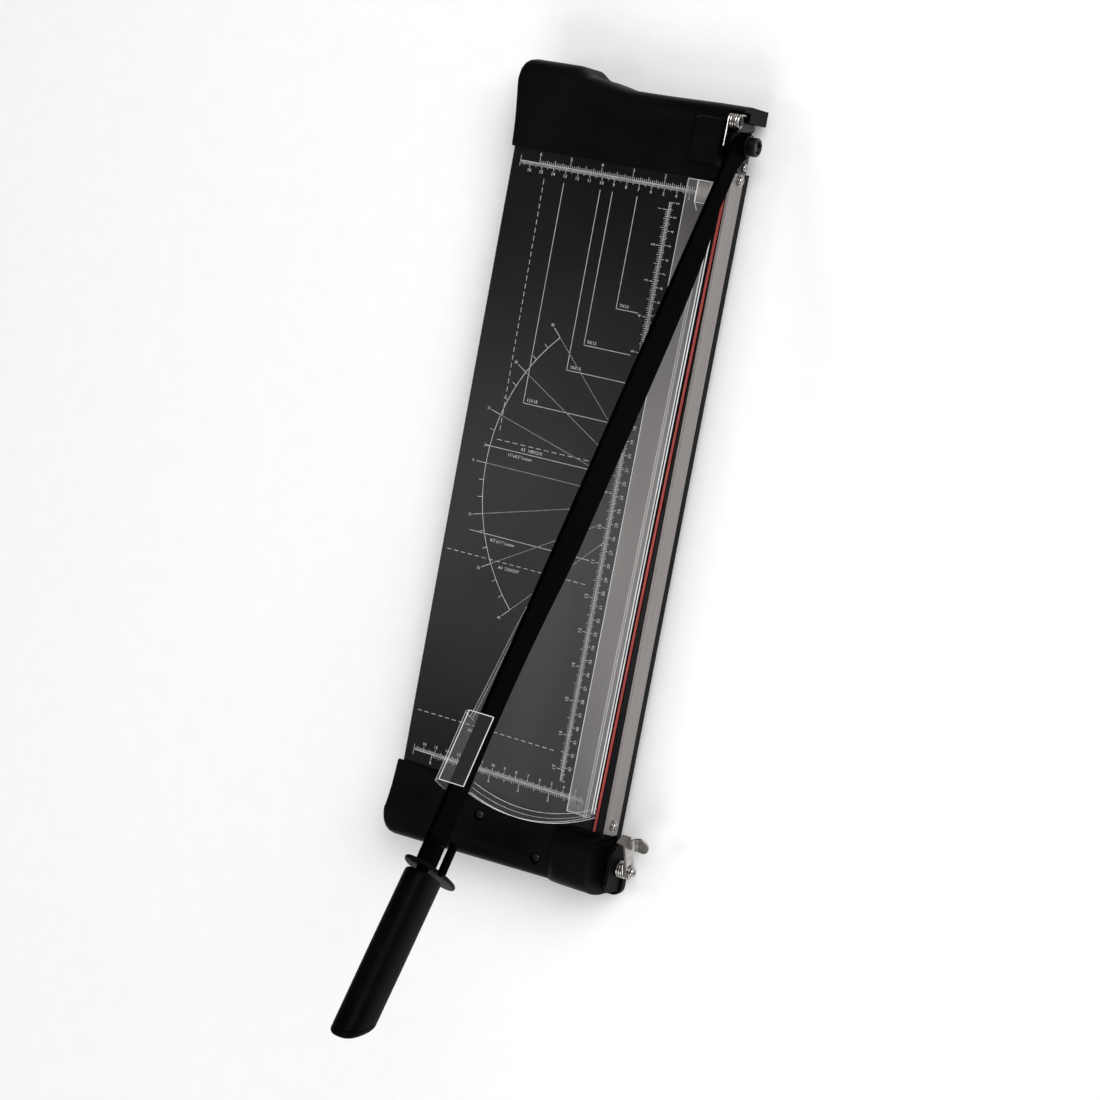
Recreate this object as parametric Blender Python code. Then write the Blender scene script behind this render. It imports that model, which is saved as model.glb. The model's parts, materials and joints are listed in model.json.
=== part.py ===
"""Lever guillotine paper cutter, its arm raised. Sizes are in millimetres, scaled to metres by MM."""

from math import cos, pi, radians, sin, sqrt, tan

import bmesh
import bpy
from mathutils import Matrix, Vector

MM = 0.001

# Work frame: x = 0 is the cutting plane, the table at x < 0; y = 0 the rear fence; z = 0 the table surface.
SHIFT = Vector((73.9, 244.19, 36.0))

FENCE_SPAN = 460.0
TABLE_LEFT = -176.0
TABLE_THICK = 5.0
PLATE_REAR, PLATE_FRONT = 8.0, -474.0
BODY_BOTTOM = -26.0
GROUND = -36.0
KNIFE_THICK, KNIFE_DEPTH = 2.3, 19.0
KNIFE_REAR, KNIFE_FRONT = 7.5, -471.0
KNIFE_SCREWS = {"rear": (3.0, -12.0), "front": (-463.0, -9.8)}
RIB_Y = (-434.0, -230.0, -26.0)

REAR_CAP_LEFT, FRONT_CAP_LEFT = -176.4, -178.6
CAP_RIGHT, CAP_CORNER = 5.5, 9.0
CAP_SCREWS = ((-100.5, -481.0, 4.6), (-46.5, -497.5, 9.4))
SPRING_Y, SPRING_Z = 41.9, 10.2

PIVOT_Y, PIVOT_Z = 26.9, -3.0
ARM_ANGLE = radians(27.9)
BLADE_X = (0.3, 2.3)
BAR_X = (2.6, 5.6)
BAR_S = (0.7, 19.0)
EYE_RADIUS = 9.0
BLADE_SCREW_R = (90.0, 210.0, 330.0, 450.0)
BLADE_EDGE = (
    (35.0, 0.7), (44.0, -3.4), (54.0, -6.8), (66.0, -9.8), (80.0, -12.2), (98.0, -14.2), (120.0, -15.6),
    (150.0, -16.4), (230.0, -16.6), (310.0, -16.4), (335.0, -14.6), (360.0, -12.2), (388.0, -10.2),
    (416.0, -9.0), (450.0, -8.8), (490.0, -10.2), (527.5, -12.0),
)
BAR_FOOT = (529.0, 544.0, -5.0)
GUARD_DISC_R = (544.3, 546.9)
GRIP_START, GRIP_SEAM, GRIP_END = 550.0, 650.5, 659.0
GRIP_X = 3.0
GRIP_HALF = (10.2, 15.4)
GRIP_SLANT = 0.56

GUARD_X = (-9.3, -7.3)
SECTOR_RADIUS = 485.4
SECTOR_ANGLE = radians(25.4)
HOOD_R = (446.0, 494.0)
HOOD_S = 24.2
GUARD_TAPER = 0.01
GUARD_LEAN = 0.021
STRIP_X = (-4.65, -2.85)
STRIP_TAPER = 0.0125
GUARD_BROW = ((431.0, 6.4), (413.0, 4.5), (393.0, 2.6), (375.0, 0.4), (352.0, -3.4), (325.0, -9.6), (290.0, -19.5))
RIVET_Y = (-60.0, -230.0, -400.0)
RIVET_Z = 5.9
CLAMP_LEFT = -31.5
CLAMP_PIN_X = -25.2
CLAMP_PINS_Y = (-9.0, -451.0)

STUD_Y, STUD_Z = -492.0, -12.0
LATCH_LEAN = radians(30.0)
LATCH_X = (17.5, 19.0)

GAP = 0.3

MATERIALS = {
    "black_plastic": ((0.022, 0.022, 0.025), 0.5, 0.0),
    "table_black": ((0.02, 0.021, 0.026), 0.38, 0.0),
    "blade_black": ((0.012, 0.012, 0.013), 0.35, 0.0),
    "grip_black": ((0.02, 0.02, 0.02), 0.6, 0.0),
    "knife_steel": ((0.46, 0.43, 0.41), 0.35, 1.0),
    "zinc": ((0.62, 0.6, 0.57), 0.3, 1.0),
    "dark_steel": ((0.12, 0.12, 0.125), 0.4, 1.0),
    "cut_red": ((0.62, 0.07, 0.06), 0.35, 0.0),
    "clear": ((0.85, 0.88, 0.9), 0.08, 0.0),
    "rubber": ((0.03, 0.03, 0.03), 0.8, 0.0),
    "bronze": ((0.5, 0.32, 0.14), 0.4, 1.0),
}


def clear_scene():
    for obj in list(bpy.data.objects):
        bpy.data.objects.remove(obj, do_unlink=True)


def material(slot):
    found = bpy.data.materials.get(slot)
    if found:
        return found
    color, rough, metal = MATERIALS[slot]
    made = bpy.data.materials.new(slot)
    made.use_nodes = True
    shader = made.node_tree.nodes["Principled BSDF"]
    shader.inputs["Base Color"].default_value = (*color, 1.0)
    shader.inputs["Roughness"].default_value = rough
    shader.inputs["Metallic"].default_value = metal
    if slot == "clear":
        shader.inputs["Alpha"].default_value = 0.35
    return made


def empty(name, y, z, angle):
    obj = bpy.data.objects.new(name, None)
    bpy.context.scene.collection.objects.link(obj)
    obj.location = (SHIFT + Vector((0.0, y, z))) * MM
    obj.rotation_euler = (angle, 0.0, 0.0)
    return obj


def add(name, slot, mesh_parts, parent=None):
    """One object from a bmesh; base pieces sit at the work frame, moving pieces on their joint's empty."""
    mesh = bpy.data.meshes.new(name)
    bmesh.ops.recalc_face_normals(mesh_parts, faces=mesh_parts.faces)
    bmesh.ops.scale(mesh_parts, vec=(MM, MM, MM), verts=mesh_parts.verts)
    mesh_parts.to_mesh(mesh)
    mesh_parts.free()
    obj = bpy.data.objects.new(name, mesh)
    bpy.context.scene.collection.objects.link(obj)
    obj.data.materials.append(material(slot))
    if parent is None:
        obj.location = SHIFT * MM
    else:
        obj.parent = parent
    smooth(obj)
    return obj


def smooth(obj):
    obj.data.shade_smooth()
    obj.data.set_sharp_from_angle(angle=radians(32))


def skin(rings, closed_ends=True):
    """A closed body through rings of equal point count."""
    bm = bmesh.new()
    rows = [[bm.verts.new(point) for point in ring] for ring in rings]
    for one, two in zip(rows, rows[1:]):
        for i in range(len(one)):
            j = (i + 1) % len(one)
            bm.faces.new((one[i], one[j], two[j], two[i]))
    if closed_ends:
        bm.faces.new(rows[0])
        bm.faces.new(rows[-1])
    return bm


def prism(axis, outline, low, high):
    """Extrudes a 2D outline along x, y or z; its two numbers are the other axes, in x, y, z order."""
    def point(pair, depth):
        a, b = pair
        return {"x": (depth, a, b), "y": (a, depth, b), "z": (a, b, depth)}[axis]

    return skin([[point(pair, depth) for pair in outline] for depth in (low, high)])


def box(x, y, z):
    return prism("z", [(x[0], y[0]), (x[1], y[0]), (x[1], y[1]), (x[0], y[1])], z[0], z[1])


def turned(axis, centre, profile, count=24):
    """Turns (distance, radius) pairs about an axis; a closed profile with a bore gives a ring."""
    frames = {"x": (0, 1, 2), "y": (1, 2, 0), "z": (2, 0, 1)}[axis]
    solid = profile[0][1] == 0.0
    bm = bmesh.new()
    rows = []
    for distance, radius in profile:
        steps = 1 if radius == 0.0 else count
        row = []
        for k in range(steps):
            angle = 2 * pi * k / count
            point = [0.0, 0.0, 0.0]
            point[frames[0]] = distance
            point[frames[1]] = radius * cos(angle)
            point[frames[2]] = radius * sin(angle)
            row.append(bm.verts.new(Vector(centre) + Vector(point)))
        rows.append(row)
    pairs = list(zip(rows, rows[1:]))
    if not solid:
        pairs.append((rows[-1], rows[0]))
    for one, two in pairs:
        for k in range(count):
            m = (k + 1) % count
            corners = [one[k % len(one)], one[m % len(one)], two[m % len(two)], two[k % len(two)]]
            bm.faces.new(list(dict.fromkeys(corners)))
    return bm


def arc(centre, radius, start, end, count):
    """Points on a circle between two angles in degrees."""
    steps = [radians(start + (end - start) * k / count) for k in range(count + 1)]
    return [(centre[0] + radius * cos(a), centre[1] + radius * sin(a)) for a in steps]


def ramp(x, start, end):
    """Eases from 0 at start to 1 at end."""
    t = min(1.0, max(0.0, (x - start) / (end - start)))
    return t * t * (3.0 - 2.0 * t)


def corner_inset(x, left):
    """How far a rounded corner of radius CAP_CORNER stands back at x."""
    dx = min(x - left, CAP_CORNER)
    return CAP_CORNER - sqrt(max(0.0, CAP_CORNER**2 - (CAP_CORNER - dx) ** 2))


def flowing(points, steps=3):
    """A smooth curve through the points, with its ends kept."""
    padded = [points[0], *points, points[-1]]
    curve = []
    for quad in zip(padded, padded[1:], padded[2:], padded[3:]):
        curve += [tuple(spline(k / steps, *axis) for axis in zip(*quad)) for k in range(steps)]
    return [*curve, points[-1]]


def spline(t, a, b, c, d):
    return b + 0.5 * t * (c - a + t * (2 * a - 5 * b + 4 * c - d + t * (3 * b - a - 3 * c + d)))


def combine(obj, operation, other):
    """Applies one Boolean with a bmesh given in the object's own millimetres."""
    tool = add(obj.name + "_tool", "black_plastic", other)
    tool.location = obj.location
    tool.parent = obj.parent
    tool.hide_render = True
    for solver in ("EXACT", "MANIFOLD"):
        result = boolean_mesh(obj, tool, operation, solver)
        if is_closed(result):
            break
    obj.data = result
    bpy.data.objects.remove(tool, do_unlink=True)
    smooth(obj)


def boolean_mesh(obj, tool, operation, solver):
    modifier = obj.modifiers.new("combine", "BOOLEAN")
    modifier.operation = operation
    modifier.solver = solver
    modifier.object = tool
    bpy.context.view_layer.update()
    graph = bpy.context.evaluated_depsgraph_get()
    result = bpy.data.meshes.new_from_object(obj.evaluated_get(graph), depsgraph=graph)
    obj.modifiers.clear()
    weld(result)
    while len(result.materials) > 1:
        result.materials.pop(index=len(result.materials) - 1)
    for polygon in result.polygons:
        polygon.material_index = 0
    return result


def is_closed(mesh):
    bm = bmesh.new()
    bm.from_mesh(mesh)
    closed = all(len(edge.link_faces) == 2 for edge in bm.edges)
    bm.free()
    return closed


def weld(mesh):
    bm = bmesh.new()
    bm.from_mesh(mesh)
    bmesh.ops.remove_doubles(bm, verts=bm.verts, dist=2e-6)
    bmesh.ops.dissolve_degenerate(bm, edges=bm.edges, dist=1e-6)
    bm.to_mesh(mesh)
    bm.free()


def cut(obj, *tools):
    for tool in tools:
        combine(obj, "DIFFERENCE", tool)


def fuse(obj, *tools):
    for tool in tools:
        combine(obj, "UNION", tool)


# ---------------------------------------------------------------- base


def table_plate():
    outline = [
        (TABLE_LEFT, -24.0),
        (TABLE_LEFT + 2.5, -24.0),
        (TABLE_LEFT + 2.5, -TABLE_THICK),
        (-2.6, -TABLE_THICK),
        (-2.6, -0.9),
        (-11.9, -0.9),
        (-11.9, 0.0),
        (TABLE_LEFT + 1.0, 0.0),
        (TABLE_LEFT, -1.0),
    ]
    plate = add("table_plate", "table_black", prism("y", outline, PLATE_FRONT, PLATE_REAR))
    for y in CLAMP_PINS_Y:
        cut(plate, turned("z", (CLAMP_PIN_X, y, 0.0), [(-9, 0), (-9, 2.35), (4, 2.35), (4, 0)], 16))
    low, high = STRIP_X
    ends = (PLATE_FRONT + 5.5, -0.6)
    corners = [(x + STRIP_TAPER * y, y) for x, y in ((low, ends[0]), (high, ends[0]), (high, ends[1]), (low, ends[1]))]
    add("cut_strip", "cut_red", prism("z", corners, -0.6, 0.2))


def base_frame():
    low, high = BODY_BOTTOM, -TABLE_THICK - GAP
    ends = (PLATE_FRONT, PLATE_REAR)
    right = [(-14.0, low), (0.1, low), (0.1, -19.4), (-2.6, -19.4), (-2.6, high), (-14.0, high)]
    frame = add("base_frame", "black_plastic", prism("y", right, *ends))
    fuse(frame, box((-173.2, -161.0), ends, (low, high)))
    for y in RIB_Y:
        fuse(frame, box((-172.0, -5.0), (y - 6.0, y + 6.0), (low + 1.0, high - 0.01)))
    for x, y in foot_places():
        bore = [(low - 2, 0), (low - 2, 2.3), (low + 12, 2.3), (low + 12, 0)]
        cut(frame, turned("z", (x, y, 0.0), bore, 16))


def foot_places():
    return [(x, y) for x in (-150.0, -26.0) for y in (RIB_Y[0], RIB_Y[-1])]


def feet():
    bottom, top = GROUND, BODY_BOTTOM + 1.0 - GAP
    inner = [(top, 2.4), (bottom + 5, 2.4), (bottom + 5, 5.0)]
    ring = [(bottom, 5.0), (bottom, 9.0), (top - 1.0, 10.5), (top, 10.5), *inner]
    head = bottom + 5 - GAP
    screw_head = [(head - 2.2, 0), (head - 2.2, 2.6), (head - 0.8, 4.0), (head, 4.0)]
    screw = [*screw_head, (head, 1.9), (BODY_BOTTOM + 11, 1.9), (BODY_BOTTOM + 11, 0)]
    for number, (x, y) in enumerate(foot_places(), 1):
        add(f"foot_{number}", "rubber", turned("z", (x, y, 0.0), ring))
        add(f"foot_screw_{number}", "zinc", turned("z", (x, y, 0.0), screw, 16))


def bed_knife():
    outline = [
        (KNIFE_REAR, -KNIFE_DEPTH),
        (KNIFE_REAR, 0.0),
        (KNIFE_FRONT + 3.0, 0.0),
        (KNIFE_FRONT, -12.0),
        (KNIFE_FRONT, -KNIFE_DEPTH),
    ]
    knife = add("bed_knife", "knife_steel", prism("x", outline, -KNIFE_THICK, 0.0))
    for name, place in KNIFE_SCREWS.items():
        centre = (0.0, *place)
        cut(knife, turned("x", centre, [(-4, 0), (-4, 2.1), (2, 2.1), (2, 0)], 16))
        washer = [(GAP, 2.1), (GAP, 4.3), (0.9, 4.3), (0.9, 2.1)]
        add(f"knife_washer_{name}", "zinc", turned("x", centre, washer))
        screw = [(-2.4, 0), (-2.4, 1.7), (1.1, 1.7), (1.1, 3.2), (2.0, 3.0), (2.8, 1.9), (3.0, 0)]
        add(f"knife_screw_{name}", "zinc", turned("x", centre, screw))


def rear_cap_outline(x):
    """Section of the rear cap at one x: front lip over the table, rise, rounded back."""
    inset = corner_inset(x, REAR_CAP_LEFT)
    rear = 63.2 - 6.0 * ramp(x, -131.5, -119.5) - 5.2 * ramp(x, -122.0, -84.0) + ramp(x, -70.0, -10.0) - inset
    drop = inset * 0.35
    top = [
        (1.0, 3.0),
        (18.0, 5.2 - drop * 0.2),
        (rear - 22.0, 9.5 - drop * 0.6),
        (rear - 13.0, 12.5 - drop),
        (rear - 8.0, 13.0 - drop),
        (rear - 3.8, 11.6 - drop),
        (rear - 1.2, 8.0 - drop),
        (rear, 2.0 - drop),
    ]
    return [
        (0.0, 0.4),
        (0.0, 2.2),
        *flowing(top),
        (rear, BODY_BOTTOM),
        (8.5, BODY_BOTTOM),
        (8.5, 0.4),
    ]


def housing_outline(x):
    """Section of the raised spring housing, whose left shoulder is a quarter round."""
    reach = min(1.0, max(0.0, (x + 33.0) / 11.0))
    top = 6.5 + 12.0 * sqrt(1.0 - (1.0 - reach) ** 2)
    return [
        (10.0, 2.0),
        *arc((14.0, top - 4.0), 4.0, 170, 110, 3),
        *arc((39.0, top - 3.5), 3.5, 90, 0, 4),
        (42.6, 2.0),
    ]


def cap_stations(left, places):
    return sorted({left + CAP_CORNER * (1 - cos(radians(t))) for t in (12, 30, 50, 70, 90)} | set(places))


def rear_cap():
    places = [-131.5, -129.5, -127.5, -125.5, -123.5, -121.5, -119.5, -115, -109, -101, -92, -84]
    places += [-70, -54, -42, -30, -18, -6, CAP_RIGHT]
    rings = [[(x, y, z) for y, z in rear_cap_outline(x)] for x in cap_stations(REAR_CAP_LEFT, places)]
    cap = add("rear_cap", "black_plastic", skin(rings))
    stations = [-32.9, -32.3, -31.0, -29.0, -26.5, -24.0, -22.0, -6.3]
    fuse(cap, skin([[(x, y, z) for y, z in housing_outline(x)] for x in stations]))
    cut(
        cap,
        box((-3.6, CAP_RIGHT + 2), (-2.0, 42.5), (-40.0, 40.0)),
        box((-6.0, CAP_RIGHT + 2), (34.0, 48.6), (1.5, 40.0)),
        box((-168.0, -34.0), (12.0, 46.0), (-40.0, 1.5)),
    )


def pivot_parts():
    centre = (0.0, PIVOT_Y, PIVOT_Z)
    crown = arc((29.0, 0.0), 8.5, 40, 140, 5)
    plate = [(8.4, -21.0), (42.0, -21.0), (42.0, 0.0), *crown, (18.0, -2.0), (8.4, -6.0)]
    bracket = add("pivot_bracket", "dark_steel", prism("x", plate, -3.2, -0.3))
    cut(bracket, turned("x", centre, [(-6, 0), (-6, 4.4), (2, 4.4), (2, 0)]))
    for number, y in enumerate((12.5, 34.5), 1):
        hole = (0.0, y, -16.0)
        cut(bracket, turned("x", hole, [(-6, 0), (-6, 1.9), (2, 1.9), (2, 0)], 16))
        screw = [(-3.1, 0), (-3.1, 1.5), (0.0, 1.5), (0.0, 2.9), (1.4, 2.4), (1.9, 0)]
        add(f"bracket_screw_{number}", "zinc", turned("x", hole, screw, 16))
    bolt = [(-3.1, 0), (-3.1, 4.0), (11.4, 4.0), (11.4, 2.0), (10.2, 2.0), (10.2, 0)]
    add("pivot_bolt", "zinc", turned("x", centre, bolt))
    washer = [(6.0, 4.3), (6.0, 7.6), (7.0, 7.6), (7.0, 4.3)]
    add("pivot_washer", "dark_steel", turned("x", centre, washer))
    nut = [(7.3, 4.3), (7.3, 6.6), (12.7, 6.6), (13.5, 5.9), (13.5, 4.9), (12.9, 4.3)]
    add("pivot_nut", "dark_steel", turned("x", centre, nut))


def coil(centre, radius, wire, x0, x1, turns, legs, sides=6, steps=14):
    """A torsion spring about x with a straight leg at each end, as one swept wire."""
    count = int(turns * steps)
    path = []
    for k in range(count + 1):
        angle = legs[0][0] - 2 * pi * k / steps
        x = x0 + (x1 - x0) * k / count
        path.append(Vector((x, centre[0] + radius * cos(angle), centre[1] + radius * sin(angle))))
    path.insert(0, path[0] + Vector((0.0, -sin(legs[0][0]), cos(legs[0][0]))) * legs[0][1])
    path.append(path[-1] + Vector((0.0, sin(angle), -cos(angle))) * legs[1])
    rings = []
    for k, point in enumerate(path):
        ahead = (path[min(k + 1, len(path) - 1)] - path[max(k - 1, 0)]).normalized()
        side = ahead.cross(Vector((1.0, 0.0, 0.0))).normalized()
        up = side.cross(ahead)
        rings.append(
            [point + (side * cos(turn) + up * sin(turn)) * wire for turn in turns_of(sides)]
        )
    return skin(rings)


def turns_of(sides):
    return [2 * pi * m / sides for m in range(sides)]


def lift_spring():
    centre = (SPRING_Y, SPRING_Z)
    wound = coil(centre, 4.6, 0.8, -4.6, 3.2, 4.25, ((radians(90), 18.0), 5.0))
    add("lift_spring", "zinc", wound)
    post = [(-5.8, 0), (-5.8, 2.9), (3.8, 2.9), (3.8, 0)]
    add("spring_post", "dark_steel", turned("x", (0.0, *centre), post, 16))


def front_cap_outline(x):
    """Section of the front cap at one x: lip over the table, wedge rising forward, rounded front."""
    inset = corner_inset(x, FRONT_CAP_LEFT)
    fence = -FENCE_SPAN - 9.0 * min(1.0, max(0.0, (x + 124.0) / 84.0))
    front = -517.6 + 4.2 * min(1.0, max(0.0, (x + 165.0) / 128.0)) + inset
    drop = inset * 0.22
    top = [
        (fence - 1.0, 3.0),
        (-480.0, 6.2 - drop * 0.3),
        (-494.0, 10.6 - drop * 0.7),
        (front + 15.0, 12.4 - drop),
        (front + 9.0, 11.6 - drop),
        (front + 4.6, 8.4 - drop),
        (front + 1.8, 2.0 - drop),
        (front + 0.4, -8.0),
    ]
    return [
        (fence, 0.4),
        (fence, 2.2),
        *flowing(top),
        (front, BODY_BOTTOM),
        (PLATE_FRONT - 0.5, BODY_BOTTOM),
        (PLATE_FRONT - 0.5, 0.4),
    ]


def block_outline(x):
    """Section of the raised right block, whose left shoulder is a quarter round."""
    reach = min(1.0, max(0.0, (x + 37.0) / 12.0))
    top = 6.0 + 14.0 * sqrt(1.0 - (1.0 - reach) ** 2)
    crown = [
        (-470.6, 1.6),
        (-472.0, 2.0 + 0.4 * top),
        (-478.5, top - 0.8),
        (-486.0, top),
        (-498.0, top - 1.2),
        (-506.6, 0.72 * top),
        (-511.8, 0.3 * top),
        (-514.6, -8.0),
    ]
    return [
        (-474.6, 0.4),
        (-470.4, 0.4),
        *flowing(crown),
        (-515.2, BODY_BOTTOM + 0.5),
        (-474.6, BODY_BOTTOM + 0.5),
    ]


def front_cap():
    places = [-145, -124, -103, -82, -61, -40, -18, -0.5]
    rings = [[(x, y, z) for y, z in front_cap_outline(x)] for x in cap_stations(FRONT_CAP_LEFT, places)]
    cap = add("front_cap", "black_plastic", skin(rings))
    blocks = [-36.9, -36.3, -35, -33, -30.5, -28, -25, -0.5]
    fuse(cap, skin([[(x, y, z) for y, z in block_outline(x)] for x in blocks]))
    cut(
        cap,
        box((-168.0, -42.0), (-510.0, -478.0), (-40.0, 1.5)),
        box((-3.0, 20.0), (-474.3, -440.0), (-40.0, 40.0)),
        box((-18.0, 5.0), (-540.0, -516.0), (-40.0, 40.0)),
    )
    floor = [(-1.0, -474.6), (10.8, -474.6), *arc((3.8, -507.8), 7.0, 0, -90, 6), (-1.0, -514.8)]
    cheek = [(-476.0, -21.5), (-476.0, -4.0), (-481.0, 2.0), (-504.0, 2.0), (-510.0, -4.0), (-510.0, -21.5)]
    fuse(cap, prism("z", floor, BODY_BOTTOM, -20.5), prism("x", cheek, 6.4, 9.0))
    cut(cap, turned("x", (0.0, STUD_Y, STUD_Z), [(0, 0), (0, 3.3), (12, 3.3), (12, 0)]))
    for centre in CAP_SCREWS:
        cut(cap, turned("z", centre, [(-8, 0), (-8, 1.9), (-1, 1.9), (-1, 4.4), (20, 4.4), (20, 0)], 16))


def cap_screws():
    names = ("front_cap_screw_left", "front_cap_screw_right")
    profile = [(-7.7, 0), (-7.7, 1.5), (-0.7, 1.5), (-0.7, 3.6), (0.6, 3.4), (1.5, 2.2), (1.8, 0)]
    for name, centre in zip(names, CAP_SCREWS):
        add(name, "dark_steel", turned("z", centre, profile, 16))


# ---------------------------------------------------------------- arm


def arm_prism(outline, low, high):
    """Extrudes along x an outline in (r, s): r runs out from the pivot toward the handle, s up from it."""
    return prism("x", [(-r, s) for r, s in outline], low, high)


def eye():
    return [*arc((0, 0), EYE_RADIUS, 115, 285, 12), (10.0, -3.2), (20.0, BAR_S[0])]


def blade(parent):
    outline = [*eye(), *BLADE_EDGE, (BLADE_EDGE[-1][0], 14.0), (4.0, 14.0)]
    piece = add("blade", "blade_black", arm_prism(outline, *BLADE_X), parent)
    cut(piece, turned("x", (0, 0, 0), [(-2, 0), (-2, 6.1), (5, 6.1), (5, 0)]))
    for r in BLADE_SCREW_R:
        hole = [(-1, 0), (-1, 3.3), (1.3, 3.3), (1.3, 1.9), (4, 1.9), (4, 0)]
        cut(piece, turned("x", (0, -r, 9.0), hole, 16))


def blade_bar(parent):
    low, high = BAR_S
    near, far, foot = BAR_FOOT
    tang = [(near, low), (near, foot), (far, foot), (far, 3.0), (637.0, 5.0), (637.0, 14.0), (far, 14.0)]
    outline = [*eye(), *tang, (far, high), (10.0, high), (3.0, 16.5)]
    piece = add("blade_bar", "blade_black", arm_prism(outline, *BAR_X), parent)
    cut(piece, turned("x", (0, 0, 0), [(-2, 0), (-2, 6.1), (9, 6.1), (9, 0)]))
    for r in BLADE_SCREW_R:
        cut(piece, turned("x", (0, -r, 9.0), [(-1, 0), (-1, 1.9), (4.9, 1.9), (4.9, 0)], 16))


def arm_hardware(parent):
    bushing = [(0.4, 4.15), (0.4, 5.8), (5.5, 5.8), (5.5, 4.15)]
    add("pivot_bushing", "bronze", turned("x", (0, 0, 0), bushing), parent)
    screw = [(0.35, 0), (0.35, 3.0), (1.0, 3.0), (1.0, 1.6), (4.6, 1.6), (4.6, 0)]
    for number, r in enumerate(BLADE_SCREW_R, 1):
        add(f"blade_screw_{number}", "dark_steel", turned("x", (0, -r, 9.0), screw, 16), parent)


def oval(half_x, half_s, centre_x, centre_s, r, count=28, power=1.0):
    ring = []
    for k in range(count):
        a = 2 * pi * k / count
        x = centre_x + half_x * abs(cos(a)) ** power * (1 if cos(a) > 0 else -1)
        s = centre_s + half_s * abs(sin(a)) ** power * (1 if sin(a) > 0 else -1)
        ring.append((x, -r, s))
    return ring


def hand_guard(parent):
    low, high = GUARD_DISC_R
    depths = ((low, 0.98), (low + 0.6, 1.0), (high - 0.6, 1.0), (high, 0.98))
    rings = [oval(11.6 * share, 32.4 * share, 0.8, -9.0, r) for r, share in depths]
    disc = add("hand_guard", "grip_black", skin(rings), parent)
    cut(
        disc,
        box((BAR_X[0] - GAP, BAR_X[1] + GAP), (-high - 2, -low + 2), (2.6, 14.4)),
        box((10.7, 14.8), (-high + 1, -low + 2), (-3.9, 1.9)),
    )
    rod = [(11.0, -3.6), (14.6, -3.6), (14.6, 1.6), (11.0, 1.6)]
    add("lock_rod", "blade_black", prism("y", rod, -high + 1.4, -525.0), parent)


def grip_centre(r):
    return 1.5 + 5.2 * (r - GRIP_START) / (GRIP_END - GRIP_START)


def grip_section(r, share):
    """One section of the grip, leaned so that the grip's upper side reaches further out at the end."""
    half_x, half_s = GRIP_HALF
    centre = grip_centre(r)
    lean = GRIP_SLANT * ramp(r, 596.0, GRIP_SEAM)
    ring = oval(half_x * share, half_s * share, GRIP_X, centre, r, power=0.75)
    return [(x, y - (s - centre) * lean, s) for x, y, s in ring]


def handle(parent):
    start = [grip_section(GRIP_START, 0.93)]
    body = [grip_section(r, 1.0) for r in (GRIP_START + 1.5, 580.0, 604.0, 616.0, 628.0, 640.0, GRIP_SEAM)]
    grip = add("handle_grip", "grip_black", skin(start + body), parent)
    cut(grip, box((BAR_X[0] - GAP, BAR_X[1] + GAP), (-638.4, -GRIP_START + 3), (2.6, 14.4)))
    depths = ((0.4, 1.0), (3.6, 0.985), (5.6, 0.9), (6.8, 0.74), (7.4, 0.4))
    rings = [grip_section(GRIP_SEAM + depth, share) for depth, share in depths]
    add("handle_plug", "grip_black", skin(rings), parent)


# ---------------------------------------------------------------- clamp and finger guard


def taper(obj):
    """The clear guard leans: its foot runs away from the knife toward the front, its top stays by the arm."""
    for vertex in obj.data.vertices:
        x = vertex.co.x / MM
        share = 1.0 if x > -14.0 else 0.25 if x < -31.0 else 0.0
        vertex.co.x += share * (GUARD_TAPER * vertex.co.y + GUARD_LEAN * vertex.co.z)


def clamp_bar(parent):
    outline = [(CLAMP_LEFT, 0.4), (-9.6, 0.4), (-9.6, 8.0), (-11.8, 8.0), (-11.8, 3.2), (CLAMP_LEFT, 3.2)]
    bar = add("clamp_bar", "clear", prism("y", outline, -FENCE_SPAN + 0.7, -1.0), parent)
    for y in CLAMP_PINS_Y:
        fuse(bar, box((CLAMP_PIN_X - 5.6, CLAMP_PIN_X + 5.6), (y - 6.5, y + 6.5), (0.41, 6.4)))
        bore = [(-2, 0), (-2, 2.5), (2.4, 2.5), (2.4, 4.0), (20, 4.0), (20, 0)]
        cut(bar, turned("z", (CLAMP_PIN_X, y, 0.0), bore, 16))
    for y in RIVET_Y:
        cut(bar, turned("x", (0.0, y, RIVET_Z), [(-14, 0), (-14, 1.7), (-5, 1.7), (-5, 0)], 12))
    taper(bar)


def clamp_pins():
    profile = [(-4.4, 0), (-4.4, 2.0), (6.9, 2.0), (6.9, 3.3), (7.9, 3.1), (8.5, 2.4), (8.5, 0)]
    for name, y in zip(("rear", "front"), CLAMP_PINS_Y):
        add(f"clamp_pin_{name}", "clear", turned("z", (CLAMP_PIN_X, y, 0.0), profile, 16))


def on_arm(r, s, lean=ARM_ANGLE):
    return (PIVOT_Y - r * cos(lean) + s * sin(lean), PIVOT_Z + r * sin(lean) + s * cos(lean))


def sector_arc(radius, low_z, top_angle, count):
    """Points from the low end of the arc up to its top angle, in (y, z)."""
    low = sqrt(radius**2 - (low_z - PIVOT_Z) ** 2)
    start = pi - (low_z - PIVOT_Z) / low
    steps = [start + (pi - top_angle - start) * k / count for k in range(count + 1)]
    return [(PIVOT_Y + radius * cos(a), PIVOT_Z + radius * sin(a)) for a in steps]


def hood_section():
    """Section across the guard at the hood: wall, slanted shoulder, top plate over the arm."""
    left, right = GUARD_X
    outer = [(left, -15.0), (left, 17.0), (left + 1.6, 20.6), (left + 5.7, HOOD_S), (14.5, HOOD_S)]
    inner = [(14.5, HOOD_S - 1.4), (left + 6.2, HOOD_S - 1.4), (left + 2.9, 20.2), (right, 18.2)]
    return [*outer, *inner, (right, -15.0)]


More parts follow.
